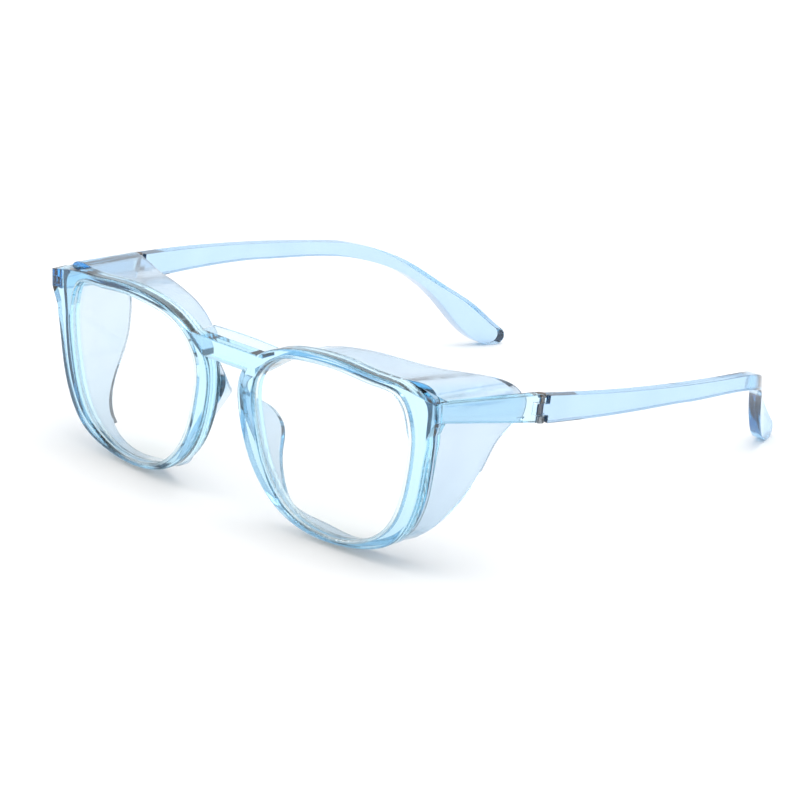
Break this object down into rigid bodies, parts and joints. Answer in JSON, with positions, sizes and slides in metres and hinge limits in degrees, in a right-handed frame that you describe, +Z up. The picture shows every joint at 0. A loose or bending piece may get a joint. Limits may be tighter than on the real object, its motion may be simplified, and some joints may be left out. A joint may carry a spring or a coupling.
{
  "type": "safety glasses",
  "caption": "Clear blue-tinted safety glasses with two lenses, a moulded guard round each eye and two folding temples.",
  "frame": {"origin": "centre of the object's box on the surface it rests on, temples open", "axes": "+X to the wearer's left, +Y back along the temples, +Z up; the lenses face -Y"},
  "size_m": [0.1598, 0.146, 0.0486],
  "materials": {
    "frame_plastic": "gloss, clear pale blue",
    "guard_plastic": "thin, clear pale blue, slightly milky",
    "temple_plastic": "gloss, clear pale blue",
    "lens_clear": "clear polycarbonate",
    "screw_steel": "dark bronze-coloured steel",
    "insert_steel": "plain steel"
  },
  "bodies": {
    "front": {"front_frame": "frame_plastic", "lens_left": "lens_clear", "lens_right": "lens_clear", "eye_guard_left": "guard_plastic", "eye_guard_right": "guard_plastic", "hinge_screw_left": "screw_steel", "hinge_screw_right": "screw_steel", "hinge_insert_left": "insert_steel", "hinge_insert_right": "insert_steel"},
    "temple_arm_left": {"temple_left": "temple_plastic"},
    "temple_arm_right": {"temple_right": "temple_plastic"}
  },
  "joints": [
    {"name": "left_hinge", "type": "hinge", "parent": "front", "child": "temple_arm_left", "pos_m": [0.0746, -0.03773, 0.03802], "axis": [0, 0.1374, 0.9905], "range_deg": [0, 80]},
    {"name": "right_hinge", "type": "hinge", "parent": "front", "child": "temple_arm_right", "pos_m": [-0.0746, -0.03773, 0.03802], "axis": [0, -0.1374, -0.9905], "range_deg": [0, 90]}
  ]
}
